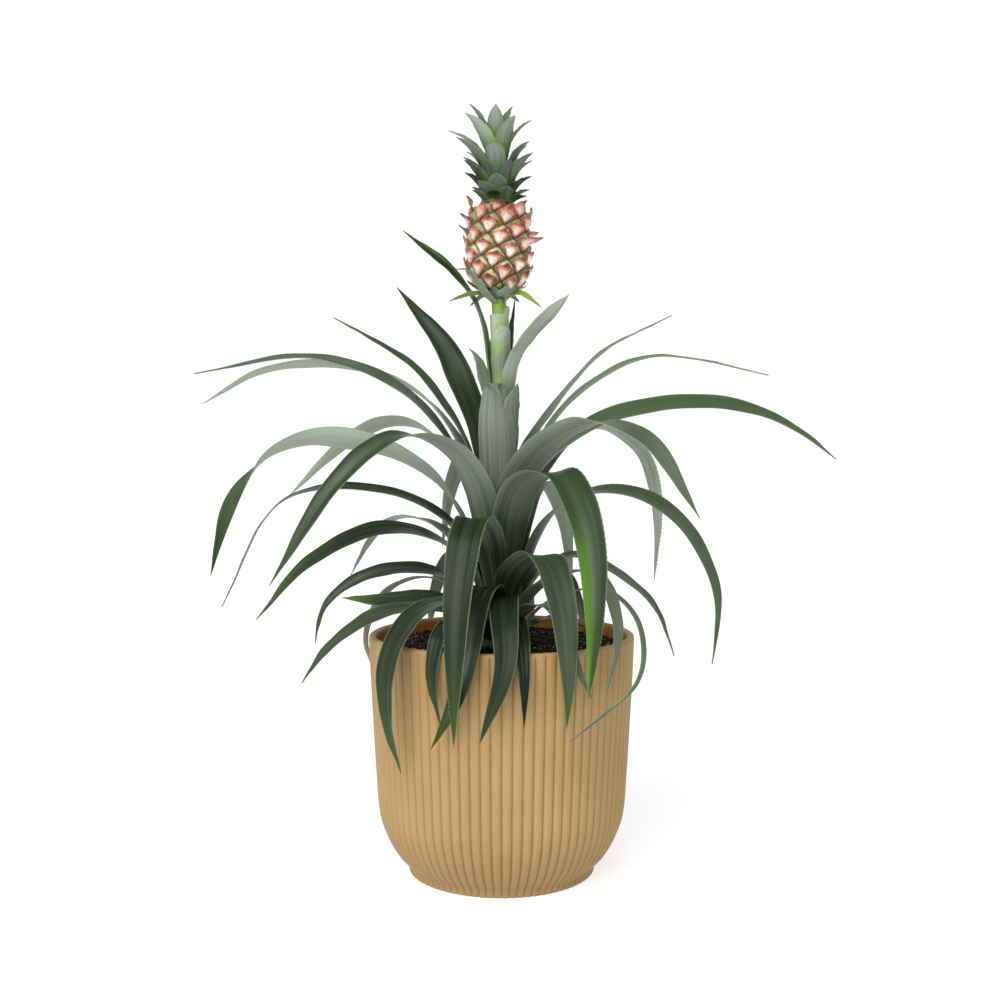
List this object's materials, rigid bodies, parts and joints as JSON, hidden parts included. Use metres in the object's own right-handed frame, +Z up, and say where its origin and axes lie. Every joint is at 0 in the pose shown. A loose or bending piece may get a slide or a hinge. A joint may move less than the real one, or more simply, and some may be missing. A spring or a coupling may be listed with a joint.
{
  "type": "potted pineapple plant",
  "caption": "Ornamental pineapple plant with arching leaves and a small pink crowned fruit, growing in a ribbed round plastic pot.",
  "frame": {"origin": "centre of the pot's flat base", "axes": "+Z up along the pot's axis, -Y towards the viewer, +X to the viewer's right"},
  "size_m": [0.346, 0.2023, 0.3991],
  "materials": {
    "pot": "smooth matte moulded plastic, butter yellow, with fine vertical ribs",
    "soil": "loose dark peat with small light specks",
    "stem": "pale green stalk with a mealy bloom and bright green joints",
    "fruit": "raised fruitlets with pink bracts, pale domes and olive grooves",
    "crown": "grey-green mealy leaves, brighter green at their feet",
    "leaf": "semi-gloss green with fine lengthwise lines, pale grey-green underneath"
  },
  "bodies": {
    "root": {"pot": "pot", "soil": "soil", "stem": "stem", "fruit": "fruit", "crown": "crown", "leaf_01": "leaf", "leaf_02": "leaf", "leaf_03": "leaf", "leaf_04": "leaf", "leaf_05": "leaf", "leaf_06": "leaf", "leaf_07": "leaf", "leaf_08": "leaf", "leaf_09": "leaf", "leaf_10": "leaf", "leaf_11": "leaf", "leaf_12": "leaf", "leaf_13": "leaf", "leaf_14": "leaf", "leaf_15": "leaf", "leaf_16": "leaf", "leaf_17": "leaf", "leaf_18": "leaf", "leaf_19": "leaf", "leaf_20": "leaf", "leaf_21": "leaf", "leaf_22": "leaf", "leaf_23": "leaf", "leaf_24": "leaf", "leaf_25": "leaf", "leaf_26": "leaf", "leaf_27": "leaf", "leaf_28": "leaf", "leaf_29": "leaf", "leaf_30": "leaf", "leaf_31": "leaf", "leaf_32": "leaf", "leaf_33": "leaf", "leaf_34": "leaf", "leaf_35": "leaf", "leaf_36": "leaf", "leaf_37": "leaf", "leaf_38": "leaf", "leaf_39": "leaf", "leaf_40": "leaf", "leaf_41": "leaf", "leaf_42": "leaf", "leaf_43": "leaf", "leaf_44": "leaf", "leaf_45": "leaf", "leaf_46": "leaf"}
  },
  "joints": []
}
